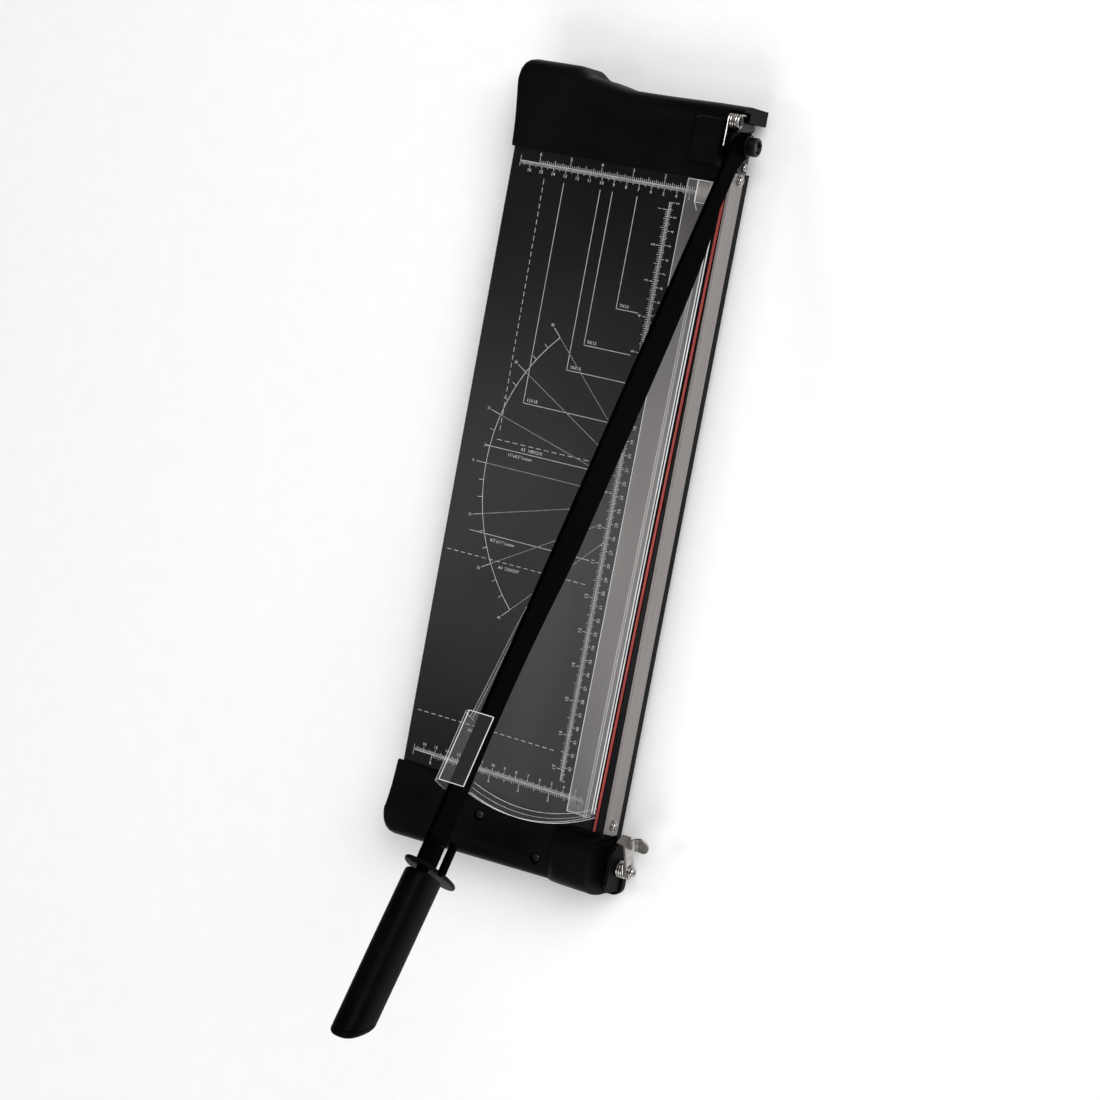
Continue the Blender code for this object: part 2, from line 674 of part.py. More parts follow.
def finger_guard(parent):
    near, far = HOOD_R
    top = PIVOT_Z + (PIVOT_Y + 1.0) * tan(SECTOR_ANGLE)
    outline = [(-1.0, 0.6), *sector_arc(SECTOR_RADIUS, 0.6, SECTOR_ANGLE, 18)]
    outline += [on_arm(far, -12.0), on_arm(far, 14.0), on_arm(near, 14.0), on_arm(near, 8.6)]
    outline += [on_arm(r, s) for r, s in GUARD_BROW] + [(-1.0, top)]
    guard = add("finger_guard", "clear", prism("x", outline, *GUARD_X), parent)
    inner = sector_arc(SECTOR_RADIUS - 7.0, 0.61, SECTOR_ANGLE, 18)
    outer = sector_arc(SECTOR_RADIUS - 0.01, 0.61, SECTOR_ANGLE, 18)
    fuse(guard, prism("x", outer + inner[::-1], GUARD_X[0] + 0.01, -5.9))
    hood = [[(x, *on_arm(r, s)) for x, s in hood_section()] for r in (near + 0.01, far - 0.01)]
    fuse(guard, skin(hood))
    for number, y in enumerate(RIVET_Y, 1):
        centre = (0.0, y, RIVET_Z)
        cut(guard, turned("x", centre, [(-14, 0), (-14, 1.7), (-5, 1.7), (-5, 0)], 12))
        heads = ([(-13.2, 0), (-12.8, 2.2), (-12.1, 2.6)], [(-7.0, 2.6), (-6.4, 2.2), (-6.1, 0)])
        rivet = [*heads[0], (-12.1, 1.3), (-7.0, 1.3), *heads[1]]
        taper(add(f"guard_rivet_{number}", "clear", turned("x", centre, rivet, 12), parent))
    taper(guard)


# ---------------------------------------------------------------- latch


def latch_base():
    centre = (0.0, STUD_Y, STUD_Z)
    stud = [(6.5, 0), (6.5, 3.0), (19.5, 3.0), (19.5, 0)]
    add("latch_stud", "zinc", turned("x", centre, stud))
    washer = [(19.3, 3.3), (19.3, 5.0), (20.1, 5.0), (20.1, 3.3)]
    add("latch_washer", "zinc", turned("x", centre, washer))
    screw = [(20.4, 0), (20.4, 3.4), (21.9, 3.2), (22.7, 2.3), (22.9, 0)]
    add("latch_screw", "zinc", turned("x", centre, screw))
    spring = coil((STUD_Y, STUD_Z), 5.6, 0.7, 10.1, 15.7, 3.25, ((radians(200), 4.5), 8.0))
    add("latch_spring", "zinc", spring)


def latch(parent):
    low, high = LATCH_X
    outline = [*arc((0, 0), 6.2, 110, 250, 8), *arc((0, 0), 6.2, 270, 290, 1)]
    outline += [(12.0, -5.2), (28.6, -5.2), (28.6, 4.0), (14.0, 4.4)]
    plate = add("latch_plate", "zinc", prism("x", outline, low, high), parent)
    cut(plate, turned("x", (0, 0, 0), [(low - 2, 0), (low - 2, 3.2), (high + 2, 3.2), (high + 2, 0)]))
    tab = [(low, -4.0), (high, -4.0), *arc((high + 3.6, -4.5), 3.6, 180, 270, 6), (23.2, -8.1)]
    tab += [(23.2, -9.6), *arc((high + 3.6, -4.5), 5.1, 270, 180, 6)]
    fuse(
        plate,
        box((12.3, high - 0.01), (27.1, 28.59), (-5.19, 3.99)),
        prism("y", tab, 13.5, 24.5),
        disc_on_tab((24.2, 19.0, -9.59), 6.4, 1.48),
    )


def disc_on_tab(centre, radius, thick):
    return turned("z", centre, [(0, 0), (0, radius), (thick, radius), (thick, 0)], 20)


def build():
    clear_scene()
    table_plate()
    base_frame()
    feet()
    bed_knife()
    rear_cap()
    pivot_parts()
    lift_spring()
    front_cap()
    cap_screws()
    clamp_pins()
    latch_base()
    arm = empty("arm_pivot", PIVOT_Y, PIVOT_Z, -ARM_ANGLE)
    blade_bar(arm)
    blade(arm)
    arm_hardware(arm)
    hand_guard(arm)
    handle(arm)
    lift = empty("clamp_lift", 0.0, 0.0, 0.0)
    clamp_bar(lift)
    finger_guard(lift)
    latch(empty("latch_pivot", STUD_Y, STUD_Z, LATCH_LEAN))


build()
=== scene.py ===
import json
from math import cos, pi, radians, sin

import bmesh
import bpy
from mathutils import Matrix, Vector


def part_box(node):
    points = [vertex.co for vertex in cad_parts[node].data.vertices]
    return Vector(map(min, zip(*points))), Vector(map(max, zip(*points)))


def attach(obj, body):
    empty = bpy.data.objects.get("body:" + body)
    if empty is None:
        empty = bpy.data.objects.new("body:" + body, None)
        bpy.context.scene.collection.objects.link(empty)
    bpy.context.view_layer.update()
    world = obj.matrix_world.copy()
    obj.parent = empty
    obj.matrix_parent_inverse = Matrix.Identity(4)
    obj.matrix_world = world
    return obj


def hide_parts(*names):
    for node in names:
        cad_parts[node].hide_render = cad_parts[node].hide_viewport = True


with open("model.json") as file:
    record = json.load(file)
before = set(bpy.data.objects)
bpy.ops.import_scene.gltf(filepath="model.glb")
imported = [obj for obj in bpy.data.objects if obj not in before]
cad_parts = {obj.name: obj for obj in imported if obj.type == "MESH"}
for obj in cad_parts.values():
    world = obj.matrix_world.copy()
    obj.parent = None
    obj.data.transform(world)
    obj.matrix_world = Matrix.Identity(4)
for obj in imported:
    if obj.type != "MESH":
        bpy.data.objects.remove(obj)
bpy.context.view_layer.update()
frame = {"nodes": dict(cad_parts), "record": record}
nodes = frame["nodes"]

MM = 0.001
# Work frame in millimetres: x = 0 cutting plane, y = 0 rear fence, z = 0 table surface.
ORIGIN = Vector((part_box("bed_knife")[1].x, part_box("rear_cap")[0].y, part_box("bed_knife")[1].z))
PIVOT = (26.9, -3.0)  # y and z of the arm's hinge
ARM_ANGLE = radians(27.9)
SHARP_ANGLE = 35.0  # degrees; edges over it stay sharp on the visual pieces
BEVEL_ANGLE = 38.0  # degrees; edges over it are rounded on the carried-over nodes

# ---------------------------------------------------------------- materials


def link(tree, source, target):
    tree.links.new(source, target)


def product(tree, first, second):
    made = tree.nodes.new("ShaderNodeMath")
    made.operation = "MULTIPLY"
    link(tree, first, made.inputs[0])
    link(tree, second, made.inputs[1])
    return made.outputs[0]


def noise(tree, coords, scale, detail=4.0, stretch=(1.0, 1.0, 1.0)):
    mapping = tree.nodes.new("ShaderNodeMapping")
    mapping.inputs["Scale"].default_value = stretch
    link(tree, coords, mapping.inputs["Vector"])
    made = tree.nodes.new("ShaderNodeTexNoise")
    made.inputs["Scale"].default_value = scale
    made.inputs["Detail"].default_value = detail
    link(tree, mapping.outputs["Vector"], made.inputs["Vector"])
    return made.outputs["Fac"]


def spread(tree, value, low, high, start=0.3, end=0.7):
    made = tree.nodes.new("ShaderNodeMapRange")
    made.inputs["From Min"].default_value = start
    made.inputs["From Max"].default_value = end
    made.inputs["To Min"].default_value = low
    made.inputs["To Max"].default_value = high
    link(tree, value, made.inputs["Value"])
    return made.outputs["Result"]


def tint(tree, value, dark, light, start=0.35, end=0.65):
    ramp = tree.nodes.new("ShaderNodeValToRGB")
    ramp.color_ramp.elements[0].position = start
    ramp.color_ramp.elements[0].color = (*dark, 1.0)
    ramp.color_ramp.elements[1].position = end
    ramp.color_ramp.elements[1].color = (*light, 1.0)
    link(tree, value, ramp.inputs["Fac"])
    return ramp.outputs["Color"]


def surface(name, dark, light, rough, metal=0.0, spec=0.5, grain=2500.0, bump=0.1, cloud=60.0,
            stretch=(1.0, 1.0, 1.0), depth=0.0002, coat=0.0):
    """A procedural finish: cloudy colour and roughness over a fine grain."""
    made = bpy.data.materials.new(name)
    made.use_nodes = True
    tree = made.node_tree
    shader = tree.nodes["Principled BSDF"]
    coords = tree.nodes.new("ShaderNodeTexCoord").outputs["Object"]
    fine = noise(tree, coords, grain, 3.0, stretch)
    broad = noise(tree, coords, cloud, 5.0, stretch)
    link(tree, tint(tree, broad, dark, light), shader.inputs["Base Color"])
    both = tree.nodes.new("ShaderNodeMath")
    both.operation = "MULTIPLY_ADD"
    both.inputs[1].default_value = 0.35
    link(tree, fine, both.inputs[0])
    link(tree, broad, both.inputs[2])
    link(tree, spread(tree, both.outputs[0], rough[0], rough[1], 0.45, 0.9), shader.inputs["Roughness"])
    height = tree.nodes.new("ShaderNodeBump")
    height.inputs["Strength"].default_value = bump
    height.inputs["Distance"].default_value = depth
    link(tree, fine, height.inputs["Height"])
    link(tree, height.outputs["Normal"], shader.inputs["Normal"])
    shader.inputs["Metallic"].default_value = metal
    shader.inputs["Specular IOR Level"].default_value = spec
    shader.inputs["Coat Weight"].default_value = coat
    return made


def clear_plastic(name, color, face_on, edge_on, rough=0.42, ends=(1.0, 1.0)):
    """Clear sheet: nearly open face on, milky at grazing angles, hazy, and fading to a share at either end.
    The milkiness is a painted glow: a near-black surface whose emission stands in for the light the sheet
    scatters.
    """
    dark, light = (0.001, 0.001, 0.001), (0.003, 0.003, 0.003)
    made = surface(name, dark, light, (rough, rough + 0.1), spec=0.03, bump=0.0)
    tree = made.node_tree
    shader = tree.nodes["Principled BSDF"]
    coords = tree.nodes.new("ShaderNodeTexCoord")
    cloud = noise(tree, coords.outputs["Object"], 24.0, 4.0, (1.0, 0.3, 1.0))
    # Painted glow: the emission colour, not the lamps, makes the sheet look pale and milky.
    link(tree, tint(tree, cloud, [0.85 * c for c in color], color), shader.inputs["Emission Color"])
    shader.inputs["Emission Strength"].default_value = 1.0
    weight = tree.nodes.new("ShaderNodeLayerWeight")
    weight.inputs["Blend"].default_value = 0.35
    base = spread(tree, weight.outputs["Facing"], face_on, edge_on, 0.15, 1.0)
    glow_haze = spread(tree, noise(tree, coords.outputs["Object"], 14.0, 3.0, (1.0, 0.25, 1.0)), 0.8, 1.25)
    place = tree.nodes.new("ShaderNodeSeparateXYZ")
    link(tree, coords.outputs["Generated"], place.inputs["Vector"])
    front = spread(tree, place.outputs["Y"], ends[0], 1.0, 0.02, 0.4)
    rear = spread(tree, place.outputs["Y"], 1.0, ends[1], 0.6, 0.95)
    # The alpha also sets the strength of the painted glow: brighter at grazing angles and mid-length, fainter
    # toward both ends.
    glow_veil = product(tree, product(tree, base, glow_haze), product(tree, front, rear))
    link(tree, glow_veil, shader.inputs["Alpha"])
    return made


MAT = {
    "black_plastic": surface("moulded_black", (0.0009, 0.0009, 0.0015), (0.0028, 0.0028, 0.004), (0.38, 0.52),
                             spec=0.04, grain=2400.0, bump=0.35, cloud=22.0),
    "table_black": surface("table_coat", (0.0012, 0.0012, 0.0018), (0.0026, 0.0026, 0.0036), (0.2, 0.27),
                           spec=0.15, grain=3200.0, bump=0.12, cloud=12.0),
    "blade_black": surface("blade_coat", (0.0003, 0.0003, 0.0004), (0.0009, 0.0009, 0.0011), (0.26, 0.38),
                           spec=0.002, grain=1800.0, bump=0.06, cloud=30.0, stretch=(1.0, 0.15, 0.15)),
    "grip_black": surface("grip_coat", (0.0004, 0.0004, 0.0005), (0.0013, 0.0013, 0.0016), (0.42, 0.56),
                          spec=0.03, grain=2000.0, bump=0.45, cloud=40.0),
    "knife_steel": surface("ground_steel", (0.25, 0.229, 0.219), (0.33, 0.305, 0.292), (0.34, 0.5), metal=1.0,
                           grain=900.0, bump=0.12, cloud=45.0, stretch=(1.0, 0.05, 2.4)),
    "zinc": surface("bright_zinc", (0.36, 0.345, 0.33), (0.5, 0.48, 0.46), (0.16, 0.3), metal=1.0,
                    grain=1500.0, bump=0.02, cloud=220.0),
    "dark_steel": surface("blued_steel", (0.008, 0.008, 0.009), (0.03, 0.03, 0.032), (0.32, 0.48), metal=0.85,
                          grain=1500.0, bump=0.08, cloud=150.0),
    "cut_red": surface("cut_line_red", (0.27, 0.034, 0.029), (0.36, 0.055, 0.047), (0.3, 0.42),
                       spec=0.35, grain=2000.0, bump=0.05, cloud=90.0, stretch=(1.0, 0.2, 1.0)),
    # The clear guard's milky look is a painted glow (emission), faint face on and brighter at grazing angles.
    "clear": clear_plastic("guard_clear", (0.56, 0.57, 0.58), 0.022, 0.06),
    "rubber": surface("foot_rubber", (0.012, 0.012, 0.012), (0.022, 0.022, 0.022), (0.75, 0.9),
                      spec=0.2, grain=1500.0, bump=0.4, cloud=80.0),
    "bronze": surface("sintered_bronze", (0.32, 0.19, 0.08), (0.46, 0.29, 0.13), (0.36, 0.52), metal=1.0,
                      grain=2600.0, bump=0.3, cloud=200.0),
}
# The clamp's milky look is a painted glow (emission), strongest face on and in the middle, fading toward both
# ends.
CLAMP_CLEAR = clear_plastic("clamp_clear", (0.44, 0.415, 0.4), 0.28, 0.2, 0.4, (0.42, 0.32))
# Pale finish for the thin lines painted as highlights along the clear parts' edges.
EDGE_HIGHLIGHT = surface("painted_edge_highlight", (0.62, 0.63, 0.64), (0.8, 0.81, 0.82), (0.2, 0.4),
                     grain=900.0, bump=0.1, cloud=120.0, stretch=(1.0, 0.3, 1.0))
PRINT = surface("pale_ink", (0.4, 0.4, 0.41), (0.56, 0.56, 0.57), (0.45, 0.6),
                grain=2600.0, bump=0.1, cloud=260.0)

# ---------------------------------------------------------------- mesh helpers


def arm_point(x, r, s):
    """From the arm's own frame: r outward from the pivot, s up from its lower edge line."""
    y = PIVOT[0] - r * cos(ARM_ANGLE) + s * sin(ARM_ANGLE)
    z = PIVOT[1] + r * sin(ARM_ANGLE) + s * cos(ARM_ANGLE)
    return (x, y, z)


def placed(name, bm):
    """An object from a bmesh in work millimetres, which it uses up."""
    bmesh.ops.recalc_face_normals(bm, faces=bm.faces)
    for vert in bm.verts:
        vert.co = ORIGIN + vert.co * MM
    mesh = bpy.data.meshes.new(name)
    bm.to_mesh(mesh)
    bm.free()
    obj = bpy.data.objects.new(name, mesh)
    bpy.context.scene.collection.objects.link(obj)
    return obj


def shade(mesh):
    mesh.shade_smooth()
    mesh.set_sharp_from_angle(angle=radians(SHARP_ANGLE))


def piece(name, bm, body, made, replaced=()):
    """One visual piece that rides a body and names the CAD nodes that it replaces."""
    obj = placed(name, bm)
    shade(obj.data)
    obj.data.materials.append(made)
    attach(obj, body)
    if replaced:
        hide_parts(*replaced)
    return obj


def skin(rings, bm=None):
    """A closed body through rings of equal point count, capped at both ends."""
    bm = bm or bmesh.new()
    rows = [[bm.verts.new(point) for point in ring] for ring in rings]
    for one, two in zip(rows, rows[1:]):
        for i in range(len(one)):
            j = (i + 1) % len(one)
            bm.faces.new((one[i], one[j], two[j], two[i]))
    bm.faces.new(rows[0])
    bm.faces.new(rows[-1])
    return bm


def corners_of(a, b):
    """The four corners of a rectangle from its two (low, high) spans."""
    return [(a[0], b[0]), (a[1], b[0]), (a[1], b[1]), (a[0], b[1])]


def box(x, y, z):
    return skin([[(a, b, depth) for a, b in corners_of(x, y)] for depth in z])


def lathe(axis, centre, profile, count=48):
    """Turns (distance, radius) pairs about an axis, from one end of the axis to the other."""
    order = {"x": (0, 1, 2), "z": (2, 0, 1)}[axis]
    rings = []
    for distance, radius in profile:
        ring = []
        for k in range(count):
            point = [0.0, 0.0, 0.0]
            point[order[0]] = distance
            point[order[1]] = max(radius, 0.02) * cos(2 * pi * k / count)
            point[order[2]] = max(radius, 0.02) * sin(2 * pi * k / count)
            ring.append(Vector(centre) + Vector(point))
        rings.append(ring)
    return skin(rings)


def tube(path, radius, sides=10, bm=None):
    """A round wire along a path."""
    points = [Vector(point) for point in path]
    rings = []
    side = None
    for k, point in enumerate(points):
        ahead = (points[min(k + 1, len(points) - 1)] - points[max(k - 1, 0)]).normalized()
        if side is None:
            side = ahead.orthogonal().normalized()
        side = (side - ahead * side.dot(ahead)).normalized()
        up = ahead.cross(side)
        turns = [2 * pi * m / sides for m in range(sides)]
        rings.append([point + (side * cos(turn) + up * sin(turn)) * radius for turn in turns])
    return skin(rings, bm)


def cut(obj, bm):
    """Takes a bmesh in work millimetres away from a finished piece."""
    tool = placed("cutter", bm)
    modifier = obj.modifiers.new("cut", "BOOLEAN")
    modifier.operation = "DIFFERENCE"
    modifier.solver = "EXACT"
    modifier.object = tool
    bpy.context.view_layer.update()
    graph = bpy.context.evaluated_depsgraph_get()
    result = bpy.data.meshes.new_from_object(obj.evaluated_get(graph), depsgraph=graph)
    obj.modifiers.clear()
    obj.data = result
    bpy.data.objects.remove(tool)
    shade(result)


def ramp(x, start, end):
    t = min(1.0, max(0.0, (x - start) / (end - start)))
    return t * t * (3.0 - 2.0 * t)


# ---------------------------------------------------------------- carried-over nodes


def node_slots():
    return {part["node"]: part["material_slot"] for part in frame["record"]["subparts"]}


def soften(obj, width, segments=2):
    """Small rounded edges on a CAD node."""
    weld = obj.modifiers.new("weld", "WELD")
    weld.merge_threshold = 2e-6
    bevel = obj.modifiers.new("edges", "BEVEL")
    bevel.width = width * MM
    bevel.segments = segments
    bevel.limit_method = "ANGLE"
    bevel.angle_limit = radians(BEVEL_ANGLE)
    normals = obj.modifiers.new("shade", "WEIGHTED_NORMAL")
    normals.keep_sharp = False
    normals.weight = 60


EDGE_WIDTHS = {
    "rear_cap": 0.9, "front_cap": 0.9, "table_plate": 0.5, "base_frame": 0.5, "bed_knife": 0.3,
    "blade_bar": 0.45, "blade": 0.2, "clamp_bar": 0.35, "finger_guard": 0.3, "latch_plate": 0.22,
    "pivot_bracket": 0.3, "lock_rod": 0.35,
}
SMALL_EDGE = 0.15


def carried_over():
    for name, slot in node_slots().items():
        obj = nodes[name]
        obj.data.materials.clear()
        obj.data.materials.append(CLAMP_CLEAR if name == "clamp_bar" else MAT[slot])
        obj.data.polygons.foreach_set("use_smooth", [True] * len(obj.data.polygons))
        soften(obj, EDGE_WIDTHS.get(name, SMALL_EDGE))


# ---------------------------------------------------------------- fasteners


def dome(base, rim, height, count=7):
    """Profile of a pan head from its rim to its crown."""
    angles = [radians(90 * k / count) for k in range(count + 1)]
    return [(base + height * sin(a), rim * (0.25 + 0.75 * cos(a)) if a < pi / 2 else 0.0) for a in angles]


def cross_head(name, axis, centre, stem, base, rim, height, slot, flip=1.0):
    """A pan-head screw with a cross recess; stem lists (distance, radius) up to the head."""
    profile = [(flip * d, r) for d, r in [*stem, (base, rim * 0.92), *dome(base + 0.2, rim, height)]]
    obj = piece(name + "_detail", lathe(axis, centre, profile), "base", MAT[slot], [name])
    reach, half = rim * 0.62, rim * 0.13
    ends = sorted((flip * (base + height * 0.35), flip * (base + height + 1.0)))
    for long_one in (0, 1):
        spans = [(-reach, reach), (-half, half)]
        if long_one:
            spans.reverse()
        order = {"x": (ends, *spans), "z": (*spans, ends)}[axis]
        cut(obj, box(*[(centre[i] + low, centre[i] + high) for i, (low, high) in enumerate(order)]))


def fasteners():
    stem = [(-2.4, 0), (-2.4, 1.7), (1.1, 1.7)]
    for name, y, z in (("rear", 3.0, -12.0), ("front", -463.0, -9.8)):
        cross_head(f"knife_screw_{name}", "x", (0.0, y, z), stem, 1.15, 3.2, 1.8, "zinc")
    stem = [(-7.7, 0), (-7.7, 1.5), (-0.7, 1.5)]
    for name, centre in (("left", (-100.5, -481.0, 4.6)), ("right", (-46.5, -497.5, 9.4))):
        cross_head(f"front_cap_screw_{name}", "z", centre, stem, -0.65, 3.6, 2.3, "dark_steel")
    stem = [(-3.1, 0), (-3.1, 1.5), (0.0, 1.5)]
    for number, y in ((1, 12.5), (2, 34.5)):
        cross_head(f"bracket_screw_{number}", "x", (0.0, y, -16.0), stem, 0.05, 2.9, 1.7, "zinc")
    cross_head("latch_screw", "x", (0.0, -492.0, -12.0), [(20.4, 0)], 20.45, 3.4, 2.2, "zinc")
    for number in range(1, 5):
        low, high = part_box(f"foot_screw_{number}")
        middle = (low + high) / 2
        place = ((middle - ORIGIN) / MM)[:2]
        stem = [(15.0, 0), (15.0, 1.9), (31.3, 1.9)]
        cross_head(f"foot_screw_{number}", "z", (*place, 0.0), stem, 31.35, 4.0, 2.0, "zinc", -1.0)


# ---------------------------------------------------------------- springs


def coil_path(centre, radius, x0, x1, turns, start, legs, steps=40):
    count = int(turns * steps)
    path = []
    for k in range(count + 1):
        angle = start - 2 * pi * k / steps
        x = x0 + (x1 - x0) * k / count
        path.append(Vector((x, centre[0] + radius * cos(angle), centre[1] + radius * sin(angle))))
    entry = Vector((0.0, -sin(start), cos(start)))
    leave = Vector((0.0, sin(angle), -cos(angle)))
    first = [path[0] + entry * legs[0] * share for share in (1.0, 0.6, 0.25)]
    last = [path[-1] + leave * legs[1] * share for share in (0.25, 0.6, 1.0)]
    return [*first, *path, *last]


def springs():
    path = coil_path((41.9, 10.2), 4.6, -4.6, 3.2, 4.25, radians(90), (18.0, 5.0))
    piece("lift_spring_wire", tube(path, 0.78), "base", MAT["zinc"], ["lift_spring"])
    path = coil_path((-492.0, -12.0), 5.6, 10.1, 15.7, 3.25, radians(200), (4.5, 8.0))
    piece("latch_spring_wire", tube(path, 0.68), "base", MAT["zinc"], ["latch_spring"])


# ---------------------------------------------------------------- handle

GRIP_START, GRIP_SEAM, GRIP_END = 550.0, 650.5, 659.0
STRAP_X, STRAP_S = (2.3, 5.9), (2.3, 14.7)  # the blade bar's end inside the grip


def oval(half_x, half_s, centre_x, centre_s, r, count, power=1.0):
    ring = []
    for k in range(count):
        a = 2 * pi * (k + 0.5) / count
        x = centre_x + half_x * abs(cos(a)) ** power * (1 if cos(a) > 0 else -1)
        s = centre_s + half_s * abs(sin(a)) ** power * (1 if sin(a) > 0 else -1)
        ring.append((x, r, s))
    return ring


def grip_section(r, share):
    """One section of the grip, leaned so that its upper side reaches further out at the end."""
    centre = 1.5 + 5.2 * (r - GRIP_START) / (GRIP_END - GRIP_START)
    lean = 0.56 * ramp(r, 596.0, GRIP_SEAM)
    ring = oval(10.2 * share, 15.4 * share, 3.0, centre, r, 64, 0.78)
    return [arm_point(x, out + (s - centre) * lean, s) for x, out, s in ring]


def handle():
    steps = (0.0, 0.15, 0.35, 0.65, 1.0)
    nose = [(GRIP_START + 3.0 * t, 0.9 + 0.1 * (1 - (1 - t) ** 2) ** 0.5) for t in steps]
    middle = [(560.0 + 6.0 * k, 1.0) for k in range(15)]
    seam = [(GRIP_SEAM - 1.0, 1.0), (GRIP_SEAM - 0.4, 0.995), (GRIP_SEAM, 0.975)]
    rings = [grip_section(r, share) for r, share in nose + middle + seam]
    grip = piece("grip_body", skin(rings), "arm", MAT["grip_black"], ["handle_grip"])
    cut(grip, skin([[arm_point(x, r, s) for x, s in corners_of(STRAP_X, STRAP_S)] for r in (545.0, 638.4)]))
    depths = [(0.4, 0.975), (0.8, 0.995), (1.5, 1.0)]
    depths += [(1.5 + 6.0 * sin(radians(t)), max(0.03, cos(radians(t)) ** 0.7)) for t in range(10, 91, 10)]
    rings = [grip_section(GRIP_SEAM + depth, share) for depth, share in depths]
    piece("grip_plug", skin(rings), "arm", MAT["grip_black"], ["handle_plug"])


def hand_guard():
    low, high = 544.3, 546.9
    rim = ((0.0, 0.965), (0.25, 0.985), (0.7, 1.0))
    depths = [(low + depth, share) for depth, share in rim]
    depths += [(high - depth, share) for depth, share in reversed(rim)]
    rings = [[arm_point(*point) for point in oval(11.6 * a, 32.4 * a, 0.8, -9.0, r, 80)] for r, a in depths]
    disc = piece("hand_guard_disc", skin(rings), "arm", MAT["grip_black"], ["hand_guard"])
    for x, s in ((STRAP_X, (2.6, 14.4)), ((10.7, 14.8), (-3.9, 1.9))):
        cut(disc, skin([[arm_point(a, r, b) for a, b in corners_of(x, s)] for r in (low - 2, high + 2)]))


# ---------------------------------------------------------------- clear guard edges, drawn as painted highlight lines

SECTOR_RADIUS, SECTOR_RIM, SECTOR_TOP = 485.4, 7.0, 24.6
HOOD_R, HOOD_S = (446.0, 494.0), 24.2
GUARD_TAPER, GUARD_LEAN = 0.01, 0.021
# The sheet's upper edge behind the hood, as (r, s) in the arm's frame.
GUARD_BROW = ((446.0, 8.6), (431.0, 6.4), (413.0, 4.5), (393.0, 2.6), (375.0, 0.4), (352.0, -3.4),
              (325.0, -9.6), (290.0, -19.5))


def sector(x, radius, count=40):
    """The sheet's curved front edge about the hinge, from just over the table up to the hood."""
    start = pi + (PIVOT[1] - 1.0) / radius
    steps = [start + (pi - radians(SECTOR_TOP) - start) * k / count for k in range(count + 1)]
    return [(x, PIVOT[0] + radius * cos(a), PIVOT[1] + radius * sin(a)) for a in steps]


def tapered(bm, left_share):
    """Follows the clear parts' lean: the foot away from the knife toward the front, the top by the arm."""
    for vert in bm.verts:
        lean = GUARD_TAPER * vert.co.y + GUARD_LEAN * vert.co.z
        vert.co.x += lean * (1.0 if vert.co.x > -14.0 else left_share)


def guard_edges():
    """Pale tubes along the rims of the clear parts: painted highlights, thin pale lines standing in for the
    light their polished edges catch.
    """
    bm = bmesh.new()
    for x in (-9.3, -7.3):
        tube([(x, -1.4, 0.75), (x, -456.0, 0.75)], 0.5, 8, bm)
        tube([arm_point(x, r, s) for r, s in GUARD_BROW], 0.11, 8, bm)
    rims = ((-9.3, 0.1, 0.16), (-5.9, 0.1, 0.2), (-5.9, SECTOR_RIM, 0.13), (-5.9, SECTOR_RIM / 2, 0.09))
    for x, inset, radius in rims:
        tube(sector(x, SECTOR_RADIUS - inset), radius, 8, bm)
    near, far = HOOD_R
    shoulder = [(-9.3, 2.0), (-9.3, 17.0), (-7.7, 20.6), (-3.6, HOOD_S), (14.5, HOOD_S)]
    for r in (near, far):
        tube([arm_point(x, r, s) for x, s in shoulder[:4]], 0.14, 8, bm)
        tube([arm_point(x, r, s) for x, s in shoulder[3:]], 0.26, 8, bm)
    for x, s, radius in ((14.5, HOOD_S - 0.1, 0.3), (-3.6, HOOD_S, 0.26), (-9.3, 17.0, 0.12)):
        tube([arm_point(x, near, s), arm_point(x, far, s)], radius, 8, bm)
    tapered(bm, 1.0)
    piece("guard_highlight_lines", bm, "clamp", EDGE_HIGHLIGHT)
    bm = bmesh.new()
    low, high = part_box("clamp_bar")
    front, rear = (low.y - ORIGIN.y) / MM + 0.4, (high.y - ORIGIN.y) / MM - 0.4
    for x, z, radius in ((-31.4, 3.2, 0.24), (-11.8, 3.4, 0.1), (-9.7, 8.0, 0.1), (-11.7, 8.0, 0.1)):
        tube([(x, rear, z), (x, front, z)], radius, 8, bm)
    tube([(-20.6, rear, 9.6), (-20.6, rear - 15.5, 9.6)], 0.42, 8, bm)
    tube([(-20.6, rear - 15.0, 9.6), (-20.6, rear - 19.5, 5.2), (-20.9, rear - 21.0, 3.3)], 0.3, 8, bm)
    for y in (rear, rear - 15.5):
        tube([(-20.6, y, 9.6), (-12.2, y, 9.6), (-12.2, y, 3.4)], 0.18, 8, bm)
    for y in (rear, front):
        tube([(-31.4, y, 3.2), (-11.9, y, 3.2)], 0.22, 8, bm)
    tapered(bm, 0.25)
    piece("clamp_highlight_lines", bm, "clamp", EDGE_HIGHLIGHT)
    stop = box((-20.5, -12.3), (rear - 15.4, rear - 0.1), (3.22, 9.6))
    tapered(stop, 0.25)
    piece("clamp_rear_stop", stop, "clamp", CLAMP_CLEAR)


# ---------------------------------------------------------------- printed scales

INK_LOW, INK_HIGH = -0.03, 0.06
STROKE, TICK = 0.42, 0.36  # widths of a printed line and of a ruler's tick
INCH = 25.4


def line(bm, start, end, width=STROKE):
    """A printed stroke between two points on the table, as a thin closed strip."""
    a, b = Vector((*start, 0.0)), Vector((*end, 0.0))
    ahead = (b - a).normalized()
    side = Vector((-ahead.y, ahead.x, 0.0)) * width / 2
    corners = [a - side, b - side, b + side, a + side]
    skin([[(p.x, p.y, z) for p in corners] for z in (INK_LOW, INK_HIGH)], bm)


def dashed(bm, start, end, dash, gap):
    a, b = Vector(start), Vector(end)
    length = (b - a).length
    count = int((length + gap) / (dash + gap))
    for k in range(count):
        one = a + (b - a) * (k * (dash + gap) / length)
        two = a + (b - a) * ((k * (dash + gap) + dash) / length)
        line(bm, one, two)


